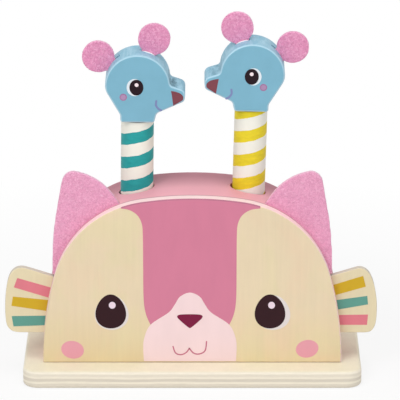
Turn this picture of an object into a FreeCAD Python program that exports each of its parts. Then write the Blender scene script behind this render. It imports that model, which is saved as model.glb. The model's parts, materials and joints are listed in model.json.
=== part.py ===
import FreeCAD, Part
import math
import os

# Pop-up toy: a cat-faced arch on a board, and two mice on sprung pegs that stand up out of it.
# Millimetres. +X is to the viewer's right, -Y is towards the viewer and +Z is up.
# The origin is the centre of the board's underside.

# Board
board_width = 228.0
board_depth = 98.0
board_thickness = 12.0
board_corner_radius = 10.5
board_edge_radius = 2.2

# Arch outline, shared by the front panel and the body block
arch_width = 201.5
arch_height = 116.5
arch_top_radius = 225.0
arch_shoulder_radius = 71.5
arch_side_radius = 234.0

# Front panel and body block
panel_setback = 18.0
panel_thickness = 9.0
panel_edge_radius = 0.8
block_depth = 50.0
block_edge_radius = 1.6

# Cat's ears: felt, held in pockets between panel and block
cat_ear_thickness = 4.0
ear_base_out = 94.2
ear_bulge_out = 93.9
ear_bulge_up = 88.0
ear_bulge_radius = 200.0
ear_tip_out = 85.8
ear_tip_up = 133.9
ear_tip_radius = 8.0
ear_shoulder_out = 61.2
ear_shoulder_up = 128.7
ear_shoulder_radius = 40.0
ear_root_in = 41.9
ear_root_up = 99.5

# Fins: plywood, held in pockets between panel and block
fin_thickness = 5.0
fin_edge_radius = 0.6
fin_root_in = 78.0
fin_foot_up = 18.2
fin_foot_out = 125.0
fin_foot_radius = 7.0
fin_bulge_out = 126.8
fin_bulge_up = 34.5
fin_bulge_radius = 30.0
fin_tip_out = 118.5
fin_tip_up = 68.0
fin_tip_radius = 6.5
fin_slope = 18.5
pocket_clearance = 0.3

# Pegs: the mice's striped necks
peg_spacing = 75.0
peg_diameter = 22.0
peg_end_chamfer = 1.0
peg_hole_clearance = 1.0
left_peg_rise = 163.0
right_peg_rise = 170.5
left_lean = 0.7
right_lean = 1.5

# Mouse head, cut from thick wood; its outline is drawn with the snout towards +X
head_thickness = 26.0
head_edge_radius = 1.4
foot_width = 22.6
foot_corner_radius = 1.8
nape_height = 4.9
nape_radius = 5.0
skull_radius = 21.6
skull_height = 25.0
occiput_angle = 174.0
occiput_run = 4.5
occiput_radius = 12.0
brow_angle = 9.0
brow_run = 2.6
brow_radius = 3.0
snout_reach = 32.2
snout_top_height = 22.4
snout_top_radius = 4.4
chin_setback = 0.9
chin_height = 14.9
chin_radius = 3.2
throat_reach = 12.9
throat_height = 6.4
throat_radius = 3.4

# Mouse ears: felt discs with a root tab that is glued into a slot in the head
mouse_ear_diameter = 22.0
mouse_ear_thickness = 3.0
mouse_ear_overlap = 1.1
mouse_ear_tab_width = 10.0
mouse_ear_tab_depth = 5.0
front_ear_angle = 70.0
back_ear_angle = 147.3
felt_clearance = 0.1
slot_spare_depth = 0.3
slot_spare_length = 3.4

# Wooden pin that joins head and peg
pin_diameter = 8.0
pin_length = 30.0
pin_end_chamfer = 0.8
pin_clearance = 0.05
pin_hole_spare = 0.5

# Stop washer and its screw, under each peg
chamber_diameter = 34.0
chamber_height = 96.0
washer_diameter = 28.0
washer_thickness = 2.0
washer_hole_clearance = 0.3
washer_gap = 0.25
stop_gap = 0.8
washer_screw_diameter = 4.0
washer_screw_length = 22.0
washer_screw_head_diameter = 8.0
washer_screw_head_height = 2.4

# Springs
spring_mean_diameter = 21.0
spring_wire_diameter = 1.1
spring_closed_turns = 1.0
spring_open_turns = 6.0
spring_closed_gap = 0.6
spring_seat_depth = 3.0
spring_seat_clearance = 0.6
spring_end_gap = 0.3
spring_pitch_blend = 0.5
spring_stations_per_turn = 4

# Wood screws from below, through the board into the block
base_screw_diameter = 4.0
base_screw_length = 34.0
base_screw_head_diameter = 8.0
base_screw_head_height = 2.6
base_screw_sink = 0.5
base_screw_clearance = 0.2
base_screw_out = 73.0
base_screw_spacing = 26.0
screw_bite_clearance = 0.05

# How far a cut runs past the surface that it opens
overcut = 1.0

# Places worked out from the sizes above
panel_front = panel_setback - board_depth / 2
panel_back = panel_front + panel_thickness
block_back = panel_back + block_depth
peg_y = (panel_back + block_back) / 2
guide_underside = board_thickness + chamber_height
washer_top = guide_underside - stop_gap
washer_underside = washer_top - washer_thickness
spring_seat = board_thickness - spring_seat_depth
reach = 2 * board_width


def vec(x, y, z):
    return FreeCAD.Vector(x, y, z)


def unit(x, z):
    length = math.hypot(x, z)
    return x / length, z / length


def polar(centre, radius, degrees):
    """The point on a circle in the XZ plane, measured from +X towards +Z."""
    angle = math.radians(degrees)
    return centre[0] + radius * math.cos(angle), centre[1] + radius * math.sin(angle)


def arc_edge(centre, radius, start, end):
    """The shorter arc of a circle between two of its points, all as (x, z)."""
    out_x, out_z = unit(start[0] + end[0] - 2 * centre[0], start[1] + end[1] - 2 * centre[1])
    middle = (centre[0] + radius * out_x, centre[1] + radius * out_z)
    points = [vec(x, 0, z) for x, z in (start, middle, end)]
    return Part.Arc(*points).toShape()


def line_edge(start, end):
    return Part.LineSegment(vec(start[0], 0, start[1]), vec(end[0], 0, end[1])).toShape()


def rounded_outline(corners):
    """A closed wire through (x, z, radius) corners, each corner rounded by a tangent arc.

    Where two arcs would overrun the side between them, both are made smaller in proportion.
    """
    count = len(corners)
    shortest = 1e-6
    sides = []
    for index in range(count):
        x, z, radius = corners[index]
        next_x, next_z, next_radius = corners[(index + 1) % count]
        sides.append((unit(next_x - x, next_z - z), math.hypot(next_x - x, next_z - z)))
    turns = []
    setbacks = []
    for index in range(count):
        in_x, in_z = sides[index - 1][0]
        out_x, out_z = sides[index][0]
        turn = math.atan2(in_x * out_z - in_z * out_x, in_x * out_x + in_z * out_z)
        turns.append(turn)
        setbacks.append(corners[index][2] * math.tan(abs(turn) / 2))
    for index in range(count):
        following = (index + 1) % count
        share = sides[index][1] / max(setbacks[index] + setbacks[following], sides[index][1])
        setbacks[index] *= share
        setbacks[following] *= share
    edges = []
    last = None
    first = None
    for index in range(count):
        x, z, radius = corners[index]
        setback, turn = setbacks[index], turns[index]
        in_x, in_z = sides[index - 1][0]
        out_x, out_z = sides[index][0]
        start = (x - setback * in_x, z - setback * in_z)
        end = (x + setback * out_x, z + setback * out_z)
        if last is None:
            first = start
        elif math.hypot(start[0] - last[0], start[1] - last[1]) > shortest:
            edges.append(line_edge(last, start))
        else:
            start = last
        if setback > shortest:
            side = math.copysign(1.0, turn)
            true_radius = setback / math.tan(abs(turn) / 2)
            centre = (start[0] - side * in_z * true_radius, start[1] + side * in_x * true_radius)
            edges.append(arc_edge(centre, true_radius, start, end))
        last = end
    if math.hypot(first[0] - last[0], first[1] - last[1]) > shortest:
        edges.append(line_edge(last, first))
    return Part.Wire(edges)


def slab(wire, low_y, high_y):
    """A solid of an XZ outline between two depths."""
    solid = Part.Face(wire).extrude(vec(0, high_y - low_y, 0))
    solid.translate(vec(0, low_y, 0))
    return solid


def rim_edges(solid, y):
    """The edges of a slab that lie in its face at depth y."""
    flat = 1e-6
    rim = []
    for edge in solid.Edges:
        box = edge.BoundBox
        if abs(box.YMin - y) < flat and abs(box.YMax - y) < flat:
            rim.append(edge)
    return rim


def level_edges(solid, z):
    """The edges of a solid that lie at height z."""
    flat = 1e-6
    rim = []
    for edge in solid.Edges:
        box = edge.BoundBox
        if abs(box.ZMin - z) < flat and abs(box.ZMax - z) < flat:
            rim.append(edge)
    return rim


def rod(diameter, low, high, x=0.0, y=0.0):
    """An upright cylinder between two heights."""
    return Part.makeCylinder(diameter / 2, high - low, vec(x, y, low))


def mirrored(solid):
    """The same solid on the other side of the YZ plane."""
    return solid.mirror(vec(0, 0, 0), vec(1, 0, 0))


# Arch

def arch_outline():
    """Three tangent arcs a side: a flat crown, a tight shoulder and a long cheek."""
    foot = board_thickness
    half = arch_width / 2
    crown_centre = (0.0, foot + arch_height - arch_top_radius)
    cheek_centre = (half - arch_side_radius, foot)
    to_crown = arch_top_radius - arch_shoulder_radius
    to_cheek = arch_side_radius - arch_shoulder_radius
    apart_x = cheek_centre[0] - crown_centre[0]
    apart_z = cheek_centre[1] - crown_centre[1]
    apart = math.hypot(apart_x, apart_z)
    along = (apart ** 2 + to_crown ** 2 - to_cheek ** 2) / (2 * apart)
    across = math.sqrt(to_crown ** 2 - along ** 2)
    along_x, along_z = apart_x / apart, apart_z / apart
    shoulder = (crown_centre[0] + along * along_x + across * along_z,
                crown_centre[1] + along * along_z - across * along_x)
    crown_x, crown_z = unit(shoulder[0] - crown_centre[0], shoulder[1] - crown_centre[1])
    cheek_x, cheek_z = unit(shoulder[0] - cheek_centre[0], shoulder[1] - cheek_centre[1])
    crown_end = (crown_centre[0] + arch_top_radius * crown_x, crown_centre[1] + arch_top_radius * crown_z)
    cheek_end = (cheek_centre[0] + arch_side_radius * cheek_x, cheek_centre[1] + arch_side_radius * cheek_z)

    def other(point):
        return -point[0], point[1]

    heel = (half, foot)
    return Part.Wire([
        line_edge(other(heel), heel),
        arc_edge(cheek_centre, arch_side_radius, heel, cheek_end),
        arc_edge(shoulder, arch_shoulder_radius, cheek_end, crown_end),
        arc_edge(crown_centre, arch_top_radius, crown_end, other(crown_end)),
        arc_edge(other(shoulder), arch_shoulder_radius, other(crown_end), other(cheek_end)),
        arc_edge(other(cheek_centre), arch_side_radius, other(cheek_end), other(heel)),
    ])


# Cat's ears and fins, drawn for the right side, heights from the board's top

def fin_top(x):
    """Height of the fin's sloping top edge."""
    return fin_tip_up - (fin_tip_out - x) * math.tan(math.radians(fin_slope))


def fin_outline(grow=0.0):
    foot = board_thickness
    return rounded_outline([
        (fin_root_in - grow, foot + fin_foot_up - grow, 0.0),
        (fin_foot_out + grow, foot + fin_foot_up - grow, fin_foot_radius),
        (fin_bulge_out + grow, foot + fin_bulge_up, fin_bulge_radius),
        (fin_tip_out + grow, foot + fin_top(fin_tip_out) + grow, fin_tip_radius),
        (fin_root_in - grow, foot + fin_top(fin_root_in) + grow, 0.0),
    ])


def cat_ear_outline(grow=0.0):
    """An ear that stands just above the fin; grow widens its hidden root for the pocket."""
    foot = board_thickness
    lift = pocket_clearance
    return rounded_outline([
        (fin_root_in, foot + fin_top(fin_root_in) + lift - grow, 0.0),
        (ear_base_out + grow, foot + fin_top(ear_base_out) + lift - grow, 0.0),
        (ear_bulge_out + grow, foot + ear_bulge_up, ear_bulge_radius),
        (ear_tip_out + grow, foot + ear_tip_up + grow, ear_tip_radius),
        (ear_shoulder_out - grow, foot + ear_shoulder_up + grow, ear_shoulder_radius),
        (ear_root_in - grow, foot + ear_root_up - grow, 0.0),
    ])


def fin():
    solid = slab(fin_outline(), panel_back, panel_back + fin_thickness)
    rims = rim_edges(solid, panel_back) + rim_edges(solid, panel_back + fin_thickness)
    return solid.makeFillet(fin_edge_radius, rims)


def cat_ear():
    return slab(cat_ear_outline(), panel_back, panel_back + cat_ear_thickness)


# Board, panel, block and screws

def base_screw_places():
    places = []
    for x in (-base_screw_out, base_screw_out):
        for side in (-1, 1):
            places.append((x, peg_y + side * base_screw_spacing / 2))
    return places


def base_board():
    half_x = board_width / 2
    half_y = board_depth / 2
    board = Part.makeBox(board_width, board_depth, board_thickness, vec(-half_x, -half_y, 0))
    upright = [edge for edge in board.Edges if edge.BoundBox.ZLength > board_thickness / 2]
    board = board.makeFillet(board_corner_radius, upright)
    rims = level_edges(board, 0) + level_edges(board, board_thickness)
    board = board.makeFillet(board_edge_radius, rims)
    seat_diameter = spring_mean_diameter + spring_wire_diameter + 2 * spring_seat_clearance
    cuts = []
    for x in (-peg_spacing / 2, peg_spacing / 2):
        cuts.append(rod(seat_diameter, spring_seat, reach, x, peg_y))
    hole_diameter = base_screw_diameter + 2 * base_screw_clearance
    for x, y in base_screw_places():
        cuts.append(rod(hole_diameter, -overcut, reach, x, y))
        cuts.append(screw_head(x, y, base_screw_clearance))
    return board.cut(cuts)


def screw_head(x, y, grow):
    """A countersunk head, widest at the bottom, with its recess below it when grown."""
    radius = base_screw_head_diameter / 2 + grow
    shank = base_screw_diameter / 2 + grow
    cone = Part.makeCone(radius, shank, base_screw_head_height, vec(x, y, base_screw_sink))
    if grow > 0:
        return cone.fuse(rod(2 * radius, -overcut, base_screw_sink, x, y))
    return cone


def base_screws():
    screws = []
    tip = base_screw_sink + base_screw_length
    for x, y in base_screw_places():
        shank_top = tip - base_screw_diameter
        shank = rod(base_screw_diameter, base_screw_sink, shank_top, x, y)
        point = Part.makeCone(base_screw_diameter / 2, 0, base_screw_diameter, vec(x, y, shank_top))
        screws.append(screw_head(x, y, 0).fuse([shank, point]).removeSplitter())
    return Part.makeCompound(screws)


def front_panel():
    panel = slab(arch_outline(), panel_front, panel_back)
    return panel.makeFillet(panel_edge_radius, rim_edges(panel, panel_front))


def body_block():
    block = slab(arch_outline(), panel_back, block_back)
    block = block.makeFillet(block_edge_radius, rim_edges(block, block_back))
    guide_diameter = peg_diameter + 2 * peg_hole_clearance
    cuts = []
    for x in (-peg_spacing / 2, peg_spacing / 2):
        cuts.append(rod(chamber_diameter, board_thickness - overcut, guide_underside, x, peg_y))
        cuts.append(rod(guide_diameter, guide_underside - overcut, reach, x, peg_y))
    pilot_diameter = base_screw_diameter + 2 * screw_bite_clearance
    pilot_top = base_screw_sink + base_screw_length + screw_bite_clearance
    for x, y in base_screw_places():
        cuts.append(rod(pilot_diameter, 0, pilot_top, x, y))
    opening = panel_back - overcut
    ear_pocket = slab(cat_ear_outline(pocket_clearance), opening, panel_back + cat_ear_thickness)
    fin_pocket = slab(fin_outline(pocket_clearance), opening, panel_back + fin_thickness)
    for pocket in (ear_pocket, fin_pocket):
        cuts.append(pocket)
        cuts.append(mirrored(pocket))
    return block.cut(cuts)


# Mouse: drawn upright on the Z axis with the snout towards +X and its foot at height zero

def skull_run(start, end):
    """Corners of a polygon round the skull whose rounding is the skull's circle."""
    steps = 4
    half_step = (end - start) / steps / 2
    corner_reach = skull_radius / math.cos(math.radians(half_step))
    corners = []
    for index in range(steps):
        angle = start + (2 * index + 1) * half_step
        x, z = polar((0.0, skull_height), corner_reach, angle)
        corners.append((x, z, skull_radius))
    return corners


def skull_tangent(degrees, run):
    """A point that lies a run away from the skull, along its tangent, clockwise."""
    x, z = polar((0.0, skull_height), skull_radius, degrees)
    step_x, step_z = polar((0.0, 0.0), run, degrees - 90)
    return x + step_x, z + step_z


def head_outline():
    foot = foot_width / 2
    occiput = skull_tangent(occiput_angle, -occiput_run)
    brow = skull_tangent(brow_angle, brow_run)
    corners = [
        (-foot, 0.0, foot_corner_radius),
        (-foot, nape_height, nape_radius),
        (occiput[0], occiput[1], occiput_radius),
    ]
    corners += skull_run(occiput_angle, brow_angle)
    corners += [
        (brow[0], brow[1], brow_radius),
        (snout_reach, snout_top_height, snout_top_radius),
        (snout_reach - chin_setback, chin_height, chin_radius),
        (throat_reach, throat_height, throat_radius),
        (foot, 0.0, foot_corner_radius),
    ]
    return rounded_outline(corners)


def ear_frame(solid, degrees):
    """Turn a solid drawn on the skull's +X side to an angle round the skull's centre."""
    solid = solid.copy()
    solid.translate(vec(0, 0, skull_height))
    solid.rotate(vec(0, 0, skull_height), vec(0, -1, 0), degrees)
    return solid


def ear_tab_outline(clearance, deeper, longer):
    half = mouse_ear_tab_width / 2 + clearance
    inner = skull_radius - mouse_ear_tab_depth - deeper
    outer = skull_radius + mouse_ear_diameter / 2
    return rounded_outline([
        (inner, -half - longer, 0.0), (outer, -half - longer, 0.0), (outer, half, 0.0), (inner, half, 0.0)])


def mouse_ear(degrees):
    half = mouse_ear_thickness / 2
    centre = skull_radius + mouse_ear_diameter / 2 - mouse_ear_overlap
    disc = Part.makeCylinder(mouse_ear_diameter / 2, mouse_ear_thickness, vec(centre, -half, 0), vec(0, 1, 0))
    ear = disc.fuse(slab(ear_tab_outline(0.0, 0.0, 0.0), -half, half)).removeSplitter()
    return ear_frame(ear, degrees)


def ear_slot(degrees, longer):
    half = mouse_ear_thickness / 2 + felt_clearance
    outline = ear_tab_outline(felt_clearance, slot_spare_depth, longer)
    return ear_frame(slab(outline, -half, half), degrees)


def head():
    half = head_thickness / 2
    solid = slab(head_outline(), -half, half)
    rims = rim_edges(solid, -half) + rim_edges(solid, half)
    solid = solid.makeFillet(head_edge_radius, rims)
    pin_hole = rod(pin_diameter + 2 * pin_clearance, -overcut, (pin_length + pin_hole_spare) / 2)
    return solid.cut([ear_slot(front_ear_angle, 0.0), ear_slot(back_ear_angle, slot_spare_length), pin_hole])


def head_pin():
    half = pin_length / 2
    pin = rod(pin_diameter, -half, half)
    return pin.makeChamfer(pin_end_chamfer, level_edges(pin, half) + level_edges(pin, -half))


def neck(length):
    """A peg that hangs below the head's foot."""
    peg = rod(peg_diameter, -length, 0)
    peg = peg.makeChamfer(peg_end_chamfer, level_edges(peg, -length))
    pin_hole = rod(pin_diameter + 2 * pin_clearance, -(pin_length + pin_hole_spare) / 2, overcut)
    bite_diameter = washer_screw_diameter + 2 * screw_bite_clearance
    screw_hole = rod(bite_diameter, -length - overcut, washer_screw_tip(length) + screw_bite_clearance)
    return peg.cut([pin_hole, screw_hole])


def washer_screw_seat(length):
    """Height at which the screw's head sits under the washer, from the mouse's foot."""
    return -length - washer_gap - washer_thickness - washer_gap


def washer_screw_tip(length):
    return washer_screw_seat(length) + washer_screw_length


def washer_screw(length):
    seat = washer_screw_seat(length)
    shank = rod(washer_screw_diameter, seat, washer_screw_tip(length))
    screw = shank.fuse(rod(washer_screw_head_diameter, seat - washer_screw_head_height, seat))
    rim = level_edges(screw, seat - washer_screw_head_height)
    return screw.makeFillet(washer_screw_head_height / 2, rim)


def stop_washer(length):
    high = -length - washer_gap
    low = high - washer_thickness
    hole = rod(washer_screw_diameter + 2 * washer_hole_clearance, low - overcut, high + overcut)
    return rod(washer_diameter, low, high).cut(hole)


# Springs

def spring_height(turn, turns, low, high):
    """Height of the wire's centre after a number of turns: closed ends and an even open middle."""
    closed_pitch = spring_wire_diameter + spring_closed_gap
    closed_height = spring_closed_turns * closed_pitch
    open_pitch = (high - low - 2 * closed_height) / (turns - 2 * spring_closed_turns)
    blend = min(spring_closed_turns, spring_pitch_blend)
    open_start = spring_closed_turns
    open_end = turns - spring_closed_turns

    def eased(past):
        """Turns gained past a change of pitch, with the change spread over the blend."""
        if past <= -blend:
            return 0.0
        if past >= blend:
            return past
        return (past + blend) ** 2 / (4 * blend)

    extra = open_pitch - closed_pitch
    return low + closed_pitch * turn + extra * (eased(turn - open_start) - eased(turn - open_end))


def arc_between(start, control, end):
    """A tangent arc whose end tangents meet at the control point."""
    middle = (start + end) * 0.5
    cosine = (end - start).Length / 2 / (control - start).Length
    top = middle + (control - middle) * (cosine / (1 + cosine))
    return Part.Arc(start, top, end).toShape()


def spring(x, low, high):
    """A coil of round wire that follows pairs of tangent arcs, one pair between two stations."""
    turns = 2 * spring_closed_turns + spring_open_turns
    radius = spring_mean_diameter / 2
    wire_radius = spring_wire_diameter / 2
    foot = low + wire_radius
    crown = high - wire_radius
    stations = int(round(turns * spring_stations_per_turn))
    small = 1e-4

    def point(turn):
        angle = 2 * math.pi * turn
        height = spring_height(turn, turns, foot, crown)
        return vec(x + radius * math.cos(angle), peg_y + radius * math.sin(angle), height)

    def tangent(turn):
        step = point(turn + small) - point(turn - small)
        return step.normalize()

    edges = []
    for index in range(stations):
        from_turn = index / spring_stations_per_turn
        to_turn = (index + 1) / spring_stations_per_turn
        start, end = point(from_turn), point(to_turn)
        leave, arrive = tangent(from_turn), tangent(to_turn)
        span = end - start
        both = leave + arrive
        bend = 2 * (1 - leave.dot(arrive))
        along = span.dot(both)
        run = (math.sqrt(along ** 2 + bend * span.dot(span)) - along) / bend
        first_control = start + leave * run
        second_control = end - arrive * run
        joint = (first_control + second_control) * 0.5
        edges.append(arc_between(start, first_control, joint))
        edges.append(arc_between(joint, second_control, end))
    path = Part.Wire(edges)
    section = Part.Wire(Part.makeCircle(wire_radius, point(0), tangent(0)))
    return path.makePipeShell([section], True, False)


# Placing a mouse: which side, which way it looks and how it leans

def placed(solid, side, rise, lean):
    """Set a mouse's piece on its leaning peg axis; the left mouse looks right, the right one left."""
    solid = solid.copy()
    if side > 0:
        solid = mirrored(solid)
    solid.translate(vec(0, 0, rise + board_thickness - guide_underside))
    solid.rotate(vec(0, 0, 0), vec(0, 1, 0), lean)
    solid.translate(vec(side * peg_spacing / 2, peg_y, guide_underside))
    return solid


def build():
    nodes = {
        "base_board": base_board(),
        "base_screws": base_screws(),
        "body_block": body_block(),
        "front_panel": front_panel(),
        "right_cat_ear": cat_ear(),
        "right_fin": fin(),
    }
    nodes["left_cat_ear"] = mirrored(nodes["right_cat_ear"])
    nodes["left_fin"] = mirrored(nodes["right_fin"])
    front_ear = mouse_ear(front_ear_angle)
    back_ear = mouse_ear(back_ear_angle)
    mouse_head = head()
    pin = head_pin()
    mice = (("left", -1, left_peg_rise, left_lean), ("right", 1, right_peg_rise, right_lean))
    for name, side, rise, lean in mice:
        length = rise + board_thickness - washer_top - washer_gap
        pieces = {
            "head": mouse_head,
            "front_ear": front_ear,
            "back_ear": back_ear,
            "head_pin": pin,
            "neck": neck(length),
            "washer_screw": washer_screw(length),
            "stop_washer": stop_washer(length),
        }
        for piece, solid in pieces.items():
            nodes[name + "_" + piece] = placed(solid, side, rise, lean)
        tilt = washer_diameter / 2 * math.sin(math.radians(abs(lean)))
        spring_top = washer_underside - tilt - spring_end_gap
        nodes[name + "_spring"] = spring(side * peg_spacing / 2, spring_seat, spring_top)
    return nodes


os.makedirs("parts", exist_ok=True)
for node_name, shape in build().items():
    shape.exportStep("parts/" + node_name + ".step")
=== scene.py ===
import json
import math

import bmesh
import bpy
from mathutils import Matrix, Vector, geometry, noise


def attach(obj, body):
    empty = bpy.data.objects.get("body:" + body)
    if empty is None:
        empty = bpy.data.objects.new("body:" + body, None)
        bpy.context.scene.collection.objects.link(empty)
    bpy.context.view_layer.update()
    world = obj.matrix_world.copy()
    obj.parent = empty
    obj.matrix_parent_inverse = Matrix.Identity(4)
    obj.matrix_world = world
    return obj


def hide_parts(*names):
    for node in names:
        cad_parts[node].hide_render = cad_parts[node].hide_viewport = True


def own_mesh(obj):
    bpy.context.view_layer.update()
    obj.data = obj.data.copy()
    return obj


# A pop-up toy: a cat-faced arch on a board with two mice on striped pegs.
# Lengths in this script are millimetres, and are turned into metres where a mesh is made.

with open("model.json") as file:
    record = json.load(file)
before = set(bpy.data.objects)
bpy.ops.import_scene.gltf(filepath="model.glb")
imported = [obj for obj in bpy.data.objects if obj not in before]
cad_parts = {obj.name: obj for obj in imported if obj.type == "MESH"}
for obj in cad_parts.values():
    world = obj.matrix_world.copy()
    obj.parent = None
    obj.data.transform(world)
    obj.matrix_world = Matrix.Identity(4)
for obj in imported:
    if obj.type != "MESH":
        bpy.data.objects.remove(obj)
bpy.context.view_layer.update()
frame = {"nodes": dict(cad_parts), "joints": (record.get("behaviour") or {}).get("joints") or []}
nodes = frame["nodes"]
joints = {joint["name"]: joint for joint in frame["joints"]}
MM = 0.001

# View
CAMERA_PITCH = 18.3
CAMERA_DISTANCE = 2400.0
CAMERA_TARGET = (5.2, 0.0, 117.4)
FOCAL_PIXELS = 3557.0
PICTURE_PIXELS = 400.0
SENSOR_WIDTH = 36.0

# Arch outline, as the front panel has it
BOARD_TOP = 12.0
ARCH_HALF_WIDTH = 100.75
ARCH_HEIGHT = 116.5
ARCH_TOP_RADIUS = 225.0
ARCH_SHOULDER_RADIUS = 71.5
ARCH_SIDE_RADIUS = 234.0
PANEL_FRONT = -31.0
PANEL_BACK = -22.0
PANEL_RIM = 0.8

# Printed films: each layer reaches one film's thickness further out than the layer below it, and the
# cat's print sits left of the middle
FILM = 0.06
PRINT_SHIFT = -1.6

# Depths over which the panel's edge turns to the dark of the glue seam, with painted shade in the joint,
# and then to the block's paint
SEAM_SHADE_START = (-24.1, -23.6)
SEAM_END = (-23.0, -22.4)

# Depths over which the block's pink is darkened towards the back as painted shade
PAINTED_SHADE_DEPTHS = (-6.0, 19.0)

# Dark plies on the board's edge, as (lowest, highest, share of the dark colour)
BOARD_BANDS = ((-1.0, 3.4, 0.8), (4.9, 7.0, 1.0), (8.4, 10.3, 0.4), (11.1, 12.5, 0.3))
BOARD_BAND_SWAY = 1.6

# Heights over which the face's veneer turns warmer, and over which the painted shadow line at its foot ends
FACE_WARMS = (52.0, 16.0)
FOOT_SHADOW_HEIGHTS = (12.8, 12.3)

# Mouse heads, measured from the foot, with the snout towards +X
HEAD_FRONT = -13.0
HEAD_RISE = {"left": 67.0, "right": 74.5}
SKULL_RADIUS = 21.6
SKULL_HEIGHT = 25.0
FRONT_EAR_ANGLE = 70.0
EAR_HALF_THICKNESS = 1.5

# Each mouse looks across at the other
SNOUT_WAY = {"left": 1, "right": -1}

# The crook between skull and snout, as (towards the snout, up), where shade is painted in dark, with
# the distances at which the painted shade starts and is full
CROOK = (24.5, 27.5)
CROOK_SHADE_RADII = (7.5, 2.0)
CROOK_SHADE = {"left": 1.0, "right": 0.5}

# Outer outlines of the fins, as (out from the middle, up), from the foot of the root round to its top
FIN_THICKNESS = 5.0
FIN_RIM = 0.6
FIN_OUTLINES = {
    "left": (
        (78.0, 30.3), (98.0, 30.3), (112.0, 30.3), (118.6, 30.5), (122.4, 31.8), (124.9, 34.6),
        (126.0, 39.0), (126.35, 46.0), (126.2, 53.0), (125.6, 60.0), (124.5, 66.5), (123.0, 71.2),
        (120.6, 74.6), (117.4, 76.4), (113.6, 76.6), (108.5, 75.2), (98.0, 71.8), (78.0, 65.3)),
    "right": (
        (78.0, 30.2), (98.0, 30.2), (112.0, 30.2), (117.6, 30.3), (121.0, 31.4), (123.2, 34.6),
        (124.2, 38.8), (124.6, 45.0), (124.5, 52.0), (123.8, 58.0), (122.6, 64.0), (121.2, 68.6),
        (119.2, 72.6), (116.2, 75.4), (112.4, 76.4), (108.0, 75.3), (98.0, 72.2), (78.0, 66.1)),
}

# The painted nose on a mouse's snout, as (towards the snout, up)
NOSE_PATCH = (
    (22.4, 22.1), (22.7, 22.3), (25.4, 21.8), (28.4, 20.7), (30.2, 19.0), (30.5, 17.2),
    (29.9, 15.9), (26.8, 13.9), (24.2, 12.3), (23.9, 12.4), (23.4, 15.8), (22.9, 19.2))

# The painted shadow where the peg enters the head: how dark it is, and how far below the head it starts and
# is full
JOINT_SHADOW = {"left": 0.85, "right": 0.45}
JOINT_SHADOW_BELOW = (1.1, 0.5)

# Helix stripes on the pegs, with heights from the spin joint's point
STRIPES = {
    "left": {"pitch": 16.5, "low": 56.0, "share": 0.488},
    "right": {"pitch": 16.55, "low": 74.0, "share": 0.49},
}

# How far the stripes' edges waver, as a share of a turn
STRIPE_WOBBLE = 0.08

# Flecks in the felts, in cycles per metre
CAT_FLECKS = 900.0
MOUSE_FLECKS = 620.0

# Soft lamps, as (name, place in metres, size in metres, power in watts), and the world's strength
LAMPS = (
    ("key", (-0.9, -1.5, 1.5), 1.0, 16.0),
    ("fill", (1.3, -1.4, 0.9), 1.4, 4.5),
    ("overhead", (0.1, -0.4, 1.9), 1.2, 13.0),
)
WORLD_STRENGTH = 0.45


def srgb(red, green, blue):
    """Linear colour with alpha from 8-bit sRGB."""
    def linear(value):
        value /= 255
        return value / 12.92 if value <= 0.04045 else ((value + 0.055) / 1.055) ** 2.4
    return linear(red), linear(green), linear(blue), 1.0


CREAM = srgb(233, 214, 181)
CREAM_LOW = srgb(231, 210, 166)
CREAM_PEACH = srgb(236, 209, 178)
CREAM_STRAW = srgb(228, 215, 172)
# Painted shadow at the panel's foot
FOOT_SHADOW = srgb(112, 88, 62)
MAUVE = srgb(214, 129, 155)
# A darker mauve for the rim, as painted shade
MAUVE_RIM_SHADE = srgb(184, 116, 138)
MUZZLE = srgb(247, 220, 221)
CAT_NOSE = srgb(124, 22, 62)
MOUTH = srgb(200, 116, 138)
CHEEK = srgb(234, 162, 176)
EYE_DARK = srgb(46, 14, 22)
CAT_EYE_WHITE = srgb(228, 219, 217)
EYE_WHITE = srgb(226, 234, 240)
MOUSE_EYE = srgb(32, 12, 22)
MOUSE_GLINT = srgb(246, 228, 232)
CAT_GLINT = srgb(238, 218, 230)
BLOCK_FRONT = srgb(234, 166, 178)
# The block's pink with painted shade, for its rear
BLOCK_REAR_SHADE = srgb(186, 122, 135)
EDGE_PLY = srgb(250, 220, 218)
# Dark of the glue seam, partly painted shade
SEAM_AND_SHADE = srgb(192, 144, 152)
CAT_FELT = srgb(240, 163, 198)
CAT_FELT_PALE = srgb(252, 205, 226)
MOUSE_FELT = srgb(232, 148, 188)
MOUSE_FELT_PALE = srgb(248, 198, 222)
MOUSE_BLUE = srgb(126, 180, 202)
# Pale blue for the painted highlight on the heads' rims and for paint brushed thin on their walls
MOUSE_HIGHLIGHT_AND_THIN_PAINT = srgb(178, 212, 228)
# Dark blue for the painted shade in the crook
MOUSE_CROOK_SHADE = srgb(52, 92, 108)
MOUSE_NOSE = srgb(128, 68, 78)
MOUSE_CHEEK = srgb(176, 142, 178)
MOUSE_CHEEK_RING = srgb(166, 116, 158)
MOUSE_SMILE = srgb(128, 138, 184)
# Painted shadow where a peg enters its head
JOINT_SHADOW_COLOUR = srgb(58, 66, 70)
PEG_WHITE = srgb(245, 243, 231)
TEAL = srgb(42, 160, 160)
YELLOW = srgb(234, 212, 46)
FIN_CREAM = srgb(230, 216, 180)
FIN_EDGE = srgb(206, 197, 182)
FIN_PINK = srgb(224, 126, 138)
FIN_YELLOW = srgb(208, 170, 40)
FIN_TEAL = srgb(98, 158, 144)
BOARD_FACE = srgb(232, 224, 200)
BOARD_PLY_LIGHT = srgb(240, 232, 214)
BOARD_PLY_DARK = srgb(219, 210, 193)
STEEL = srgb(176, 176, 180)
BEECH = srgb(222, 190, 142)
GLUE = srgb(250, 244, 244)
FLOOR_COLOUR = (0.85, 0.85, 0.85, 1.0)

# Patches of tint on the face's veneer, with how fine they are in cycles per metre
FACE_TINTS = ((26.0, CREAM_PEACH), (34.0, CREAM_STRAW))

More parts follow.
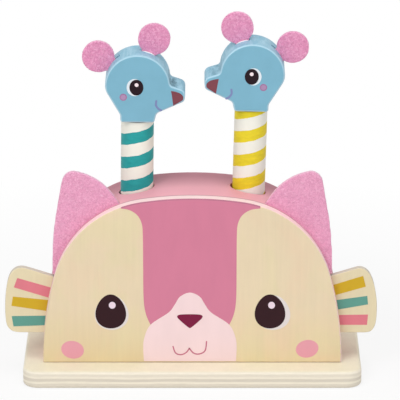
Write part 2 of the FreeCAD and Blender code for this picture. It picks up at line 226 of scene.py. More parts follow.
# White share of the floor by distance from the toy's middle, in metres
FLOOR_GLOW = {"From Min": 0.16, "From Max": 0.42, "To Min": 0.80, "To Max": 1.0}


# Shaders

class Shader:
    """A Principled material and the nodes that feed it, made by short calls."""

    def __init__(self, name, roughness, **sockets):
        self.material = bpy.data.materials.new(name)
        self.material.use_nodes = True
        self.tree = self.material.node_tree
        self.surface = self.tree.nodes["Principled BSDF"]
        self.surface.inputs["Roughness"].default_value = roughness
        for socket, value in sockets.items():
            self.surface.inputs[socket.replace("_", " ")].default_value = value
        self.place = self.tree.nodes.new("ShaderNodeTexCoord").outputs["Object"]

    def node(self, kind, *inputs, **settings):
        made = self.tree.nodes.new(kind)
        for setting, value in settings.items():
            setattr(made, setting, value)
        for socket, value in zip(made.inputs, inputs):
            self.feed(socket, value)
        return made

    def feed(self, socket, value):
        if isinstance(value, bpy.types.NodeSocket):
            self.tree.links.new(value, socket)
        else:
            socket.default_value = value

    def math(self, operation, *inputs):
        return self.node("ShaderNodeMath", *inputs, operation=operation).outputs[0]

    def along(self, direction, origin=(0.0, 0.0, 0.0)):
        """Millimetres from the origin along a direction."""
        start = tuple(c * MM for c in origin)
        scaled = tuple(c / MM for c in direction)
        moved = self.node("ShaderNodeVectorMath", self.place, start, operation="SUBTRACT")
        reach = self.node("ShaderNodeVectorMath", moved.outputs[0], scaled, operation="DOT_PRODUCT")
        return reach.outputs["Value"]

    def normal(self, axis):
        """How far the surface faces an axis of the object, without its sign."""
        facing = self.tree.nodes.new("ShaderNodeTexCoord").outputs["Normal"]
        parts = self.node("ShaderNodeSeparateXYZ", facing)
        return self.math("ABSOLUTE", parts.outputs[axis])

    def grain(self, scale, detail=3.0, roughness=0.5, distortion=0.0):
        """Noise from 0 to 1, stretched by a scale along each axis, in cycles per metre."""
        mapping = self.node("ShaderNodeMapping", self.place)
        mapping.inputs["Scale"].default_value = scale
        cloud = self.node("ShaderNodeTexNoise", mapping.outputs[0])
        cloud.inputs["Scale"].default_value = 1.0
        cloud.inputs["Detail"].default_value = detail
        cloud.inputs["Roughness"].default_value = roughness
        cloud.inputs["Distortion"].default_value = distortion
        return cloud.outputs["Fac"]

    def ramp(self, value, low, high):
        """0 below low, 1 above high."""
        made = self.node("ShaderNodeMapRange", value)
        made.inputs["From Min"].default_value = low
        made.inputs["From Max"].default_value = high
        return made.outputs[0]

    def mix(self, share, first, second, blend="MIX"):
        made = self.tree.nodes.new("ShaderNodeMix")
        made.data_type = "RGBA"
        made.blend_type = blend
        for socket, value in (("Factor_Float", share), ("A_Color", first), ("B_Color", second)):
            target = next(item for item in made.inputs if item.identifier == socket)
            self.feed(target, value)
        return next(item for item in made.outputs if item.identifier == "Result_Color")

    def vary(self, colour, pattern, amount):
        """The colour, made lighter and darker by a pattern's usual span."""
        low, high = 0.3, 0.7
        shade = self.node("ShaderNodeMapRange", pattern)
        shade.inputs["From Min"].default_value = low
        shade.inputs["From Max"].default_value = high
        shade.inputs["To Min"].default_value = 1 - amount
        shade.inputs["To Max"].default_value = 1 + amount
        grey = self.node("ShaderNodeCombineColor", shade.outputs[0], shade.outputs[0], shade.outputs[0])
        return self.mix(1.0, colour, grey.outputs[0], "MULTIPLY")

    def finish(self, colour, relief, depth):
        """The material with its colour, and with a pattern as relief of a depth in millimetres."""
        self.feed(self.surface.inputs["Base Color"], colour)
        bump = self.tree.nodes.new("ShaderNodeBump")
        bump.inputs["Strength"].default_value = 1.0
        bump.inputs["Distance"].default_value = depth * MM
        self.feed(bump.inputs["Height"], relief)
        self.feed(self.surface.inputs["Normal"], bump.outputs[0])
        return self.material


def veneer(shader, colour, amount=0.02):
    """Faint upright grain, a few longer figure lines and soft clouding of a light veneer."""
    fine = shader.grain((620.0, 200.0, 26.0), roughness=0.6)
    figure = shader.grain((110.0, 110.0, 9.0), detail=4.0, roughness=0.6)
    cloud = shader.grain((36.0, 36.0, 22.0), detail=4.0, roughness=0.6)
    for pattern, share in ((fine, 0.6), (figure, 0.8), (cloud, 1.2)):
        colour = shader.vary(colour, pattern, amount * share)
    return colour, fine


def panel_material():
    """Clear veneer on the face with a painted shadow line at its foot, a pale edge, a glue seam with
    painted shade, and the block's paint run over the edge's rear.
    """
    shader = Shader("panel_ply", 0.6, Specular_IOR_Level=0.25)
    tint_share, foot_shadow_share, flatness = 0.6, 0.6, 0.7
    height = shader.along((0, 0, 1))
    depth = shader.along((0, 1, 0))
    face = shader.mix(shader.ramp(height, *FACE_WARMS), CREAM, CREAM_LOW)
    for cycles, tint in FACE_TINTS:
        cloud = shader.grain((cycles, cycles, cycles * flatness), detail=4.0, roughness=0.6, distortion=0.5)
        patch = shader.ramp(cloud, 0.46, 0.66)
        face = shader.mix(shader.math("MULTIPLY", patch, tint_share), face, tint)
    face, fine = veneer(shader, face)
    # A painted shadow line along the panel's foot, where it meets the board.
    foot = shader.math("MULTIPLY", shader.ramp(height, *FOOT_SHADOW_HEIGHTS), foot_shadow_share)
    face = shader.mix(foot, face, FOOT_SHADOW)
    edge = shader.vary(EDGE_PLY, shader.grain((70.0, 900.0, 70.0)), 0.03)
    # Dark of the glue seam, partly painted shade in the joint between panel and block.
    edge = shader.mix(shader.ramp(depth, *SEAM_SHADE_START), edge, SEAM_AND_SHADE)
    edge = shader.mix(shader.ramp(depth, *SEAM_END), edge, BLOCK_FRONT)
    colour = shader.mix(shader.ramp(shader.normal(1), 0.5, 0.8), edge, face)
    return shader.finish(colour, fine, 0.03)


def board_material():
    """Veneer above and below, and slightly wavy bands of plies round the edge."""
    shader = Shader("board_ply", 0.55, Specular_IOR_Level=0.3)
    face, fine = veneer(shader, BOARD_FACE, 0.025)
    height = shader.along((0, 0, 1))
    ripple = shader.grain((34.0, 34.0, 120.0))
    level = shader.math("SUBTRACT", height, BOARD_BAND_SWAY / 2)
    wavy = shader.math("MULTIPLY_ADD", ripple, BOARD_BAND_SWAY, level)
    edge = BOARD_PLY_LIGHT
    soft = 0.3
    for low, high, share in BOARD_BANDS:
        rising = shader.ramp(wavy, low - soft, low + soft)
        falling = shader.ramp(wavy, high + soft, high - soft)
        inside = shader.math("MULTIPLY", rising, falling)
        edge = shader.mix(shader.math("MULTIPLY", inside, share), edge, BOARD_PLY_DARK)
    edge = shader.vary(edge, shader.grain((200.0, 200.0, 1500.0)), 0.03)
    colour = shader.mix(shader.ramp(shader.normal(2), 0.6, 0.9), edge, face)
    return shader.finish(colour, fine, 0.03)


def block_material():
    """Pink paint with painted shade darkening it towards the back, and faint brush marks."""
    shader = Shader("pink_paint", 0.5, Specular_IOR_Level=0.25)
    depth = shader.along((0, 1, 0))
    # The block's pink darkens towards the back as painted shade.
    paint = shader.mix(shader.ramp(depth, *PAINTED_SHADE_DEPTHS), BLOCK_FRONT, BLOCK_REAR_SHADE)
    paint = shader.vary(paint, shader.grain((60.0, 24.0, 60.0), detail=4.0), 0.025)
    brush = shader.grain((700.0, 40.0, 700.0))
    return shader.finish(paint, brush, 0.04)


def fin_material():
    """Clear veneer on a fin's faces and greyer plies round its edge."""
    shader = Shader("fin_ply", 0.6, Specular_IOR_Level=0.25)
    face, fine = veneer(shader, FIN_CREAM, 0.025)
    edge = shader.vary(FIN_EDGE, shader.grain((200.0, 1400.0, 200.0)), 0.06)
    colour = shader.mix(shader.ramp(shader.normal(1), 0.55, 0.8), edge, face)
    return shader.finish(colour, fine, 0.03)


def felt_material(name, colour, pale, fleck_scale):
    """Pressed wool: pale fibres over darker hollows, paler at the cut edge as painted sheen, with a soft
    sheen.
    """
    shader = Shader(name, 0.95, Sheen_Weight=0.3, Sheen_Roughness=0.5, Specular_IOR_Level=0.05)
    fibre_share, cut_sheen_share = 0.6, 0.5
    fleck = shader.grain((fleck_scale, fleck_scale, fleck_scale), roughness=0.75, distortion=1.2)
    tuft = shader.grain((240.0, 240.0, 240.0), detail=4.0, roughness=0.7, distortion=1.5)
    felt = shader.vary(shader.vary(colour, fleck, 0.14), tuft, 0.07)
    fibres = shader.math("MULTIPLY", shader.ramp(fleck, 0.48, 0.66), fibre_share)
    felt = shader.mix(fibres, felt, pale)
    # Painted sheen: the cut edge turns paler.
    cut = shader.math("MULTIPLY", shader.ramp(shader.normal(1), 0.9, 0.4), cut_sheen_share)
    felt = shader.mix(cut, felt, pale)
    return shader.finish(felt, shader.math("ADD", fleck, tuft), 0.5)


def ink(name, colour, roughness=0.55):
    """A printed or painted film with slight unevenness."""
    shader = Shader(name, roughness, Specular_IOR_Level=0.2)
    film = shader.vary(colour, shader.grain((120.0, 120.0, 40.0), detail=4.0), 0.02)
    return shader.finish(film, shader.grain((900.0, 200.0, 40.0)), 0.015)


def steel_material(name):
    """Brushed steel."""
    shader = Shader(name, 0.32, Metallic=1.0)
    brushed = shader.grain((1500.0, 1500.0, 160.0))
    return shader.finish(shader.vary(STEEL, brushed, 0.08), brushed, 0.02)


def beech_material():
    """Bare beech."""
    shader = Shader("bare_wood", 0.6)
    wood, fine = veneer(shader, BEECH, 0.07)
    return shader.finish(wood, fine, 0.05)


def mouse_axes(side):
    """The spin joint's point, its upright axis, and the way that the mouse's snout points."""
    joint = joints[side + "_spin"]
    axis = Vector(joint["axis"])
    snout = Vector((axis.z, 0.0, -axis.x)) * SNOUT_WAY[side]
    point = Vector(joint["pos_m"]) / MM
    return point, axis, snout


def peg_material(side, colour):
    """A white peg with one painted stripe wound round it, and a painted shadow line where it enters the
    head.
    """
    shader = Shader(side + "_peg_paint", 0.5, Specular_IOR_Level=0.2)
    point, axis, snout = mouse_axes(side)
    across = snout * SNOUT_WAY[side]
    stripe = STRIPES[side]
    height = shader.along(tuple(axis), tuple(point))
    behind = shader.along((0, 1, 0), tuple(point))
    turn = shader.math("ARCTAN2", behind, shader.along(tuple(across), tuple(point)))
    turns = shader.math("DIVIDE", turn, 2 * math.pi)
    risen = shader.math("DIVIDE", shader.math("SUBTRACT", height, stripe["low"]), stripe["pitch"])
    uneven = shader.grain((190.0, 190.0, 190.0))
    wobble = shader.math("MULTIPLY_ADD", uneven, STRIPE_WOBBLE, -STRIPE_WOBBLE / 2)
    phase = shader.math("ADD", shader.math("SUBTRACT", risen, turns), wobble)
    inside = shader.math("LESS_THAN", shader.math("FRACT", phase), stripe["share"])
    brushed = shader.vary(colour, shader.grain((130.0, 130.0, 420.0), detail=4.0, roughness=0.6), 0.10)
    paint = shader.mix(inside, PEG_WHITE, brushed)
    paint = shader.vary(paint, shader.grain((90.0, 90.0, 40.0), detail=4.0), 0.02)
    # A painted shadow line just under the head's foot.
    shadow_start, shadow_full = (HEAD_RISE[side] - below for below in JOINT_SHADOW_BELOW)
    joint_shadow = shader.ramp(height, shadow_start, shadow_full)
    paint = shader.mix(shader.math("MULTIPLY", joint_shadow, JOINT_SHADOW[side]), paint, JOINT_SHADOW_COLOUR)
    return shader.finish(paint, shader.grain((500.0, 500.0, 90.0)), 0.05)


def head_material(side):
    """Blue paint with a painted highlight on the rounded rim, brushed thin by turns on the side walls, and
    painted shade in the crook between skull and snout.
    """
    shader = Shader(side + "_head_paint", 0.5, Specular_IOR_Level=0.25)
    point, axis, snout = mouse_axes(side)
    rim_highlight_share, pale_share, pale_least = 0.85, 0.6, 0.1
    facing = shader.normal(1)
    clouds = shader.grain((70.0, 70.0, 70.0), detail=4.0, roughness=0.6)
    paint = shader.vary(MOUSE_BLUE, clouds, 0.03)
    # A painted highlight along the head's rounded rim.
    rim = shader.math("MULTIPLY", shader.ramp(facing, 0.995, 0.9), shader.ramp(facing, 0.1, 0.5))
    paint = shader.mix(shader.math("MULTIPLY", rim, rim_highlight_share), paint, MOUSE_HIGHLIGHT_AND_THIN_PAINT)
    wall = shader.ramp(facing, 0.35, 0.05)
    streaks = shader.grain((260.0, 60.0, 260.0), detail=5.0, roughness=0.75)
    pale = shader.math("MULTIPLY_ADD", shader.ramp(streaks, 0.42, 0.66), pale_share, pale_least)
    paint = shader.mix(shader.math("MULTIPLY", wall, pale), paint, MOUSE_HIGHLIGHT_AND_THIN_PAINT)
    # Painted shade in the crook between skull and snout, broken up by the streaks.
    crook = tuple(point + snout * CROOK[0] + axis * (HEAD_RISE[side] + CROOK[1]))
    squares = []
    for way in (snout, axis):
        reach = shader.along(tuple(way), crook)
        squares.append(shader.math("MULTIPLY", reach, reach))
    distance = shader.math("SQRT", shader.math("ADD", *squares))
    near = shader.math("MULTIPLY", shader.ramp(distance, *CROOK_SHADE_RADII), shader.ramp(streaks, 0.60, 0.38))
    dark = shader.math("MULTIPLY", shader.math("MULTIPLY", near, wall), CROOK_SHADE[side])
    paint = shader.mix(dark, paint, MOUSE_CROOK_SHADE)
    return shader.finish(paint, shader.grain((600.0, 90.0, 600.0)), 0.04)


# Outlines in the plane, as (across, up)

def smooth(points, closed=True, steps=8):
    """A Catmull-Rom curve through a few chosen points."""
    count = len(points)
    spans = count if closed else count - 1
    curve = []
    for index in range(spans):
        four = []
        for offset in (-1, 0, 1, 2):
            place = index + offset
            place = place % count if closed else min(max(place, 0), count - 1)
            four.append(Vector(points[place]))
        before, start, end, after = four
        for step in range(steps):
            t = step / steps
            curve.append(0.5 * (2 * start + (end - before) * t
                                + (2 * before - 5 * start + 4 * end - after) * t ** 2
                                + (3 * start - before - 3 * end + after) * t ** 3))
    if not closed:
        curve.append(Vector(points[-1]))
    return curve


def oval(centre, width, height, low_heavy=0.0, tilt=0.0, steps=48):
    """An ellipse that can be fuller at its foot, turned by a tilt."""
    turned = math.radians(tilt)
    curve = []
    for index in range(steps):
        angle = 2 * math.pi * index / steps
        x = width / 2 * math.cos(angle) * (1 - low_heavy * math.sin(angle))
        z = height / 2 * math.sin(angle)
        curve.append(Vector((centre[0] + x * math.cos(turned) - z * math.sin(turned),
                             centre[1] + x * math.sin(turned) + z * math.cos(turned))))
    return curve


def stroke(points, width):
    """The outline of a brush line with round ends."""
    line = smooth(points, closed=False)
    left, right = [], []
    for index, point in enumerate(line):
        ahead = line[min(index + 1, len(line) - 1)]
        behind = line[max(index - 1, 0)]
        way = (ahead - behind).normalized()
        side = Vector((-way.y, way.x)) * width / 2
        left.append(point + side)
        right.append(point - side)

    def cap(centre, start):
        """The round end from a start, as an offset from its centre, half a turn clockwise."""
        spokes, sides = [], 6
        for index in range(1, sides):
            angle = -math.pi * index / sides
            turned = Vector((start.x * math.cos(angle) - start.y * math.sin(angle),
                             start.x * math.sin(angle) + start.y * math.cos(angle)))
            spokes.append(centre + turned)
        return spokes

    return left + cap(line[-1], left[-1] - line[-1]) + right[::-1] + cap(line[0], right[0] - line[0])


def arch_arcs():
    """Centres of the arch's crown, shoulder and side arcs, and where crown and side meet the shoulder."""
    crown = Vector((0.0, BOARD_TOP + ARCH_HEIGHT - ARCH_TOP_RADIUS))
    side = Vector((ARCH_HALF_WIDTH - ARCH_SIDE_RADIUS, BOARD_TOP))
    to_crown = ARCH_TOP_RADIUS - ARCH_SHOULDER_RADIUS
    to_side = ARCH_SIDE_RADIUS - ARCH_SHOULDER_RADIUS
    apart = side - crown
    along = (apart.length ** 2 + to_crown ** 2 - to_side ** 2) / (2 * apart.length)
    across = math.sqrt(to_crown ** 2 - along ** 2)
    way = apart.normalized()
    shoulder = crown + way * along + Vector((way.y, -way.x)) * across
    crown_end = crown + (shoulder - crown).normalized() * ARCH_TOP_RADIUS
    side_end = side + (shoulder - side).normalized() * ARCH_SIDE_RADIUS
    return crown, shoulder, side, crown_end, side_end


def arch_height(x, inset):
    """Height of the arch's edge over a place, less an inset."""
    crown, shoulder, _, crown_end, _ = arch_arcs()
    x = abs(x)
    if x <= crown_end.x:
        return crown.y + math.sqrt((ARCH_TOP_RADIUS - inset) ** 2 - x ** 2)
    return shoulder.y + math.sqrt((ARCH_SHOULDER_RADIUS - inset) ** 2 - (x - shoulder.x) ** 2)


def arch_half_width(z):
    """Half the arch's width at a height below the shoulder's upper end."""
    _, shoulder, side, _, side_end = arch_arcs()
    if z <= side_end.y:
        return side.x + math.sqrt(ARCH_SIDE_RADIUS ** 2 - (z - side.y) ** 2)
    return shoulder.x + math.sqrt(ARCH_SHOULDER_RADIUS ** 2 - (z - shoulder.y) ** 2)


# Pieces

def piece(name, made, material, body, slot):
    """A new object of the toy from a bmesh, in millimetres, that rides on a body."""
    mesh = bpy.data.meshes.new(name)
    made.to_mesh(mesh)
    made.free()
    mesh.materials.append(material)
    thing = bpy.data.objects.new(name, mesh)
    bpy.context.scene.collection.objects.link(thing)
    for vertex in mesh.vertices:
        vertex.co = vertex.co * MM
    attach(thing, body)
    return thing


def film(name, outlines, layer, place, material, body, slot):
    """A printed film with the given outlines; place turns (across, up, lift) into a point."""
    made = bmesh.new()
    for outline in outlines:
        top = [place(x, z, FILM * layer) for x, z in outline]
        low = [place(x, z, 0.0) for x, z in outline]
        if geometry.normal(top).dot(top[0] - low[0]) < 0:
            top.reverse()
            low.reverse()
        top = [made.verts.new(point) for point in top]
        low = [made.verts.new(point) for point in low]
        made.faces.new(top)
        made.faces.new(low[::-1])
        for index in range(-1, len(outline) - 1):
            made.faces.new((top[index], low[index], low[index + 1], top[index + 1]))
    return piece(name, made, material, body, slot)


def on_panel(x, z, lift):
    """A place on the face panel's front."""
    return Vector((x, PANEL_FRONT - lift, z))


def on_fin(x, z, lift):
    """A place on a fin's front."""
    return Vector((x, PANEL_BACK - lift, z))


def on_head(side):
    """Places on a head's front, from its foot, with the first coordinate towards the snout."""
    point, axis, snout = mouse_axes(side)

    def place(reach, height, lift):
        spot = point + snout * reach + axis * (height + HEAD_RISE[side])
        spot.y = point.y + HEAD_FRONT - lift
        return spot
    return place


def both(points):
    """Points given for the right half, closed by their mirror images about the print's middle."""
    right = [(PRINT_SHIFT + x, z) for x, z in points]
    left = [(PRINT_SHIFT - x, z) for x, z in reversed(points)]
    return right, left


def stripe_sides():
    """The forehead stripe's right and left edges, as far as they lie inside the panel's rim."""
    edge = smooth([(26.5, 39.1), (29.0, 44.9), (30.6, 52.0), (31.2, 62.0), (31.3, 82.0), (31.4, 102.3),
                   (32.0, 110.6), (34.9, 116.8), (40.4, 120.6), (47.0, 121.7)], closed=False)
    least = 0.1
    kept = []
    for half in both(edge):
        kept.append([(x, z) for x, z in half if z < arch_height(x, PANEL_RIM + least)])
    return kept


def crown_places(right, left, steps=40):
    """Places across the panel's top from the stripe's right edge to its left one."""
    start, end = right[-1][0], left[0][0]
    return [start + (end - start) * index / steps for index in range(steps + 1)]


def print_stripe():
    """The broad stripe down the cat's forehead; it flares out along the arch's edge."""
    right, left = stripe_sides()
    return right + [(x, arch_height(x, PANEL_RIM)) for x in crown_places(right, left)] + left


def print_rim():
    """The stripe's colour, darkened by painted shade, over the panel's rounded front rim, as a thin bent
    strip.
    """
    made = bmesh.new()
    steps, sweep = 4, math.radians(72.0)
    rows = []
    for x in crown_places(*stripe_sides()):
        rows.append([])
        for lift in (FILM, 0.0):
            for step in range(steps + 1):
                angle = sweep * step / steps
                radius = PANEL_RIM + lift
                spot = (x, PANEL_FRONT + PANEL_RIM - radius * math.cos(angle),
                        arch_height(x, PANEL_RIM) + radius * math.sin(angle))
                rows[-1].append(made.verts.new(spot))
    wide = steps + 1
    ring = list(range(wide)) + list(range(2 * wide - 1, wide - 1, -1))
    for first, second in zip(rows, rows[1:]):
        for one, two in zip(ring, ring[1:] + ring[:1]):
            made.faces.new((first[one], first[two], second[two], second[one]))
    made.faces.new([rows[0][index] for index in reversed(ring)])
    made.faces.new([rows[-1][index] for index in ring])
    return made


def print_muzzle():
    """The pale muzzle, from the panel's foot up to its narrow top between the eyes."""
    right, left = both([(31.1, 13.0), (31.5, 22.4), (30.7, 30.1), (26.4, 39.3), (14.4, 47.9), (10.2, 53.6),
                        (6.6, 59.3), (0.0, 62.2)])
    return smooth(right + left[1:], closed=False)


def print_nose():
    """The small triangular nose."""
    right, left = both([(0.8, 37.2), (5.0, 40.8), (8.4, 44.4), (7.6, 46.2), (3.5, 46.7)])
    return smooth(right + left)


def dress_panel():
    """The printed cat's face; each eye has its place and how far its white shows to its right."""
    body, slot, lip_width = "housing", "panel_ply", 0.9
    left_lip = [(-13.0, 23.6), (-11.3, 19.0), (-7.6, 17.7), (-4.0, 19.4), (-2.0, 22.3)]
    right_lip = [(-2.0, 22.3), (0.8, 18.9), (4.6, 18.2), (8.6, 20.6), (9.6, 27.2)]
    eyes = ((-54.8, 0.6), (52.3, 2.2))
    whites = [oval((x + shift, 47.9), 22.6, 24.9, low_heavy=0.14) for x, shift in eyes]
    darks = [oval((x, 48.7), 20.4, 24.3, low_heavy=0.16) for x, _ in eyes]
    glints = [oval((x + 1.0, 53.2), 4.6, 4.9) for x, _ in eyes]
    cheeks = [oval((-80.8, 21.2), 15.4, 12.6, tilt=-14.0), oval((77.5, 21.9), 15.4, 12.6, tilt=14.0)]
    mouth = ink("mouth_ink", MOUTH)
    prints = (
        ("muzzle", [print_muzzle()], 2, ink("muzzle_ink", MUZZLE)),
        ("nose", [print_nose()], 3, ink("nose_ink", CAT_NOSE, 0.4)),
        ("left_lip", [stroke(left_lip, lip_width)], 3, mouth),
        ("right_lip", [stroke(right_lip, lip_width)], 3, mouth),
        ("eye_whites", whites, 1, ink("eye_white_ink", CAT_EYE_WHITE)),
        ("eyes", darks, 2, ink("eye_ink", EYE_DARK, 0.4)),
        ("eye_glints", glints, 3, ink("glint_ink", CAT_GLINT)),
        ("cheeks", cheeks, 1, ink("cheek_ink", CHEEK)),
    )
    film("cat_stripe", [print_stripe()], 1, on_panel, ink("mauve_ink", MAUVE), body, slot)
    # The rim strip's darker mauve is painted shade.
    piece("cat_stripe_rim", print_rim(), ink("mauve_rim_shade_ink", MAUVE_RIM_SHADE), body, slot)
    for name, outlines, layer, material in prints:
        film("cat_" + name, outlines, layer, on_panel, material, body, slot)


def fin_board(side, material):
    """A fin with softly rounded rims, in the plane and pocket of its CAD node."""
    sign = {"left": -1, "right": 1}[side]
    outline = [Vector((sign * x, z)) for x, z in smooth(FIN_OUTLINES[side], closed=False, steps=6)]
    inward = []
    for index, point in enumerate(outline):
        way = (outline[(index + 1) % len(outline)] - outline[index - 1]).normalized()
        inward.append(Vector((-way.y, way.x)) * sign)
    made = bmesh.new()
    steps = 4
    turns = [math.pi / 2 * step / steps for step in range(steps + 1)]
    front = [(FIN_RIM * (1 - math.sin(turn)), FIN_RIM * (1 - math.cos(turn))) for turn in turns]
    layers = [(PANEL_BACK + depth, inset) for inset, depth in front]
    layers += [(PANEL_BACK + FIN_THICKNESS - depth, inset) for inset, depth in reversed(front)]
    rings = []
    for y, inset in layers:
        spots = [point + way * inset for point, way in zip(outline, inward)]
        rings.append([made.verts.new((spot.x, y, spot.y)) for spot in spots])
    for first, second in zip(rings, rings[1:]):
        for index in range(-1, len(outline) - 1):
            side_face = made.faces.new((first[index], first[index + 1], second[index + 1], second[index]))
            side_face.smooth = True
    made.faces.new(rings[0])
    made.faces.new(rings[-1][::-1])
    bmesh.ops.recalc_face_normals(made, faces=made.faces)
    thing = piece(side + "_fin_board", made, material, "housing", "fin_ply")
    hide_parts(side + "_fin")


def fin_stripe(outer_top, inner_top, inner_low, outer_low):
    """A bar that runs in to just clear of the face panel's edge."""
    clear, tries = 0.3, 20

    def reach_panel(outer, inner):
        outer, inner = Vector(outer), Vector(inner)
        point = inner
        for _ in range(tries):
            edge = math.copysign(arch_half_width(point.y) + clear, outer.x)
            share = (edge - outer.x) / (inner.x - outer.x)
            point = outer + (inner - outer) * share
        return tuple(point)
    return [outer_top, reach_panel(outer_top, inner_top), reach_panel(outer_low, inner_low), outer_low]


def dress_fins():
    """Three printed bars on each fin."""
    pink = ink("fin_pink_ink", FIN_PINK)
    yellow = ink("fin_yellow_ink", FIN_YELLOW)
    teal = ink("fin_teal_ink", FIN_TEAL)
    bars = (
        ("left_fin_top", pink, (-117.8, 69.4), (-95.7, 62.7), (-97.5, 55.5), (-120.2, 62.7)),
        ("left_fin_middle", yellow, (-121.0, 56.1), (-97.9, 53.7), (-98.6, 45.8), (-122.1, 49.5)),
        ("left_fin_low", teal, (-122.0, 42.1), (-99.4, 42.4), (-100.1, 35.5), (-120.9, 34.7)),
        ("right_fin_top", yellow, (115.0, 70.9), (95.7, 64.7), (97.2, 57.4), (116.9, 63.2)),
        ("right_fin_middle", teal, (118.0, 56.6), (98.0, 53.7), (98.8, 46.9), (118.6, 50.5)),
        ("right_fin_low", pink, (118.7, 43.2), (99.8, 42.9), (100.7, 35.8), (118.1, 35.8)),
    )
    for name, material, *corners in bars:
        film(name + "_stripe", [fin_stripe(*corners)], 1, on_fin, material, "housing", "fin_ply")


def dress_head(side):
    """Eye, cheek, smile and nose of a mouse; the right one's print sits a little nearer its snout."""
    shift = Vector(({"left": 0.0, "right": 1.2}[side], 0.0))
    cheek = {"left": (-9.4, 17.6), "right": (-8.7, 17.2)}[side]

    def moved(outline):
        return [point + shift for point in outline]

    smile = stroke([(12.6, 15.2), (12.4, 12.3), (13.9, 10.0), (15.8, 8.9)], 1.4)
    prints = (
        ("eye_white", EYE_WHITE, moved(oval((-1.9, 24.4), 10.6, 11.9)), 1),
        ("eye", MOUSE_EYE, moved(oval((-0.7, 24.4), 9.3, 10.9)), 2),
        ("glint", MOUSE_GLINT, moved(oval((-0.6, 26.2), 2.6, 2.6)), 3),
        ("cheek_ring", MOUSE_CHEEK_RING, moved(oval(cheek, 4.9, 4.9)), 1),
        ("cheek", MOUSE_CHEEK, moved(oval(cheek, 3.5, 3.5)), 2),
        ("smile", MOUSE_SMILE, moved(smile), 1),
        ("nose", MOUSE_NOSE, smooth(NOSE_PATCH, steps=5), 1),
    )
    place, body = on_head(side), side + "_mouse"
    for name, colour, outline, layer in prints:
        material = ink(side + "_" + name + "_ink", colour)
        film(body + "_" + name, [outline], layer, place, material, body, "blue_paint")


def glue_line(side):
    """A thin bead of dried glue along the front of the front ear's root."""
    point, axis, snout = mouse_axes(side)
    steps, sides = 14, 8
    spread, thick, stand_off, thinnest = 11.0, 0.45, 0.1, 0.05
    back = Vector((0, 1, 0))
    made = bmesh.new()
    rings = []
    for index in range(steps + 1):
        along = 2 * index / steps - 1
        angle = math.radians(FRONT_EAR_ANGLE + spread * along)
        out = snout * math.cos(angle) + axis * math.sin(angle)
        swell = thick * math.sqrt(max(thinnest, 1 - along ** 2))
        centre = point + axis * (HEAD_RISE[side] + SKULL_HEIGHT) + out * (SKULL_RADIUS + stand_off)
        centre.y = point.y - EAR_HALF_THICKNESS - thick
        ring = []
        for turn in range(sides):
            around = 2 * math.pi * turn / sides
            ring.append(made.verts.new(centre + (out * math.sin(around) + back * math.cos(around)) * swell))
        rings.append(ring)
    for first, second in zip(rings, rings[1:]):
        for turn in range(-1, sides - 1):
            made.faces.new((first[turn], first[turn + 1], second[turn + 1], second[turn]))
    made.faces.new(rings[0][::-1])
    made.faces.new(rings[-1])
    bmesh.ops.recalc_face_normals(made, faces=made.faces)
    piece(side + "_ear_glue", made, ink(side + "_glue", GLUE), side + "_mouse", "blue_paint")


def felt_piece(node, body, material, voxel):
    """Pressed felt in the space of its CAD solid: soft edges and an uneven nap that only sinks in."""
    nap, nap_cycles, bite, bite_cycles, least = 0.22, 900.0, 0.8, 130.0, 0.03
    mesh = nodes[node].data.copy()
    thing = bpy.data.objects.new(node + "_felt", mesh)
    bpy.context.scene.collection.objects.link(thing)
    remesh = thing.modifiers.new("remesh", "REMESH")
    remesh.mode = "VOXEL"
    remesh.voxel_size = voxel * MM
    soften = thing.modifiers.new("soften", "SMOOTH")
    soften.factor = 0.5
    soften.iterations = 3
    graph = bpy.context.evaluated_depsgraph_get()
    final = bpy.data.meshes.new_from_object(thing.evaluated_get(graph))
    thing.modifiers.clear()
    thing.data = final
    bpy.data.meshes.remove(mesh)
    normals = [vertex.normal.copy() for vertex in final.vertices]
    for vertex, normal in zip(final.vertices, normals):
        rough = 0.5 + 0.5 * noise.noise(vertex.co * nap_cycles)
        uneven = max(0.0, noise.noise(vertex.co * bite_cycles)) * (1 - abs(normal.y))
        vertex.co -= normal * (least + nap * rough + bite * uneven) * MM
    final.materials.clear()
    final.materials.append(material)
    for polygon in final.polygons:
        polygon.use_smooth = True
    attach(thing, body)
    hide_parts(node)


def dress_ears(side, cat_felt, mouse_felt):
    """Felt for the cat's ear and for both ears of the mouse on a side."""
    cat_voxel, mouse_voxel = 0.7, 0.45
    felt_piece(side + "_cat_ear", "housing", cat_felt, cat_voxel)
    for ear in ("_front_ear", "_back_ear"):
        felt_piece(side + ear, side + "_mouse", mouse_felt, mouse_voxel)


def spring_piece(side, material):
    """The coil of its CAD node, as a copy that rides on the housing."""
    node, press = side + "_spring", joints[side + "_press"]
    mesh = nodes[node].data.copy()
    mesh.materials.clear()
    mesh.materials.append(material)
    thing = bpy.data.objects.new(node + "_coil", mesh)
    bpy.context.scene.collection.objects.link(thing)
    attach(thing, "housing")
    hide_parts(node)
    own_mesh(thing)


def paint(node, material):
    """Give a carried-over CAD node its material."""
    mesh = nodes[node].data
    mesh.materials.clear()
    mesh.materials.append(material)


def dress_nodes():
    """Materials of the carried-over nodes, and the pieces that stand for the fins and springs."""
    steel, beech = steel_material("steel"), beech_material()
    paint("base_board", board_material())
    paint("front_panel", panel_material())
    paint("body_block", block_material())
    paint("base_screws", steel)
    fin = fin_material()
    spring_steel = steel_material("spring_steel")
    peg_paint = {"left": TEAL, "right": YELLOW}
    for side in ("left", "right"):
        fin_board(side, fin)
        paint(side + "_head", head_material(side))
        paint(side + "_neck", peg_material(side, peg_paint[side]))
        paint(side + "_head_pin", beech)
        paint(side + "_washer_screw", steel)
        paint(side + "_stop_washer", steel)
        spring_piece(side, spring_steel)


# Stage

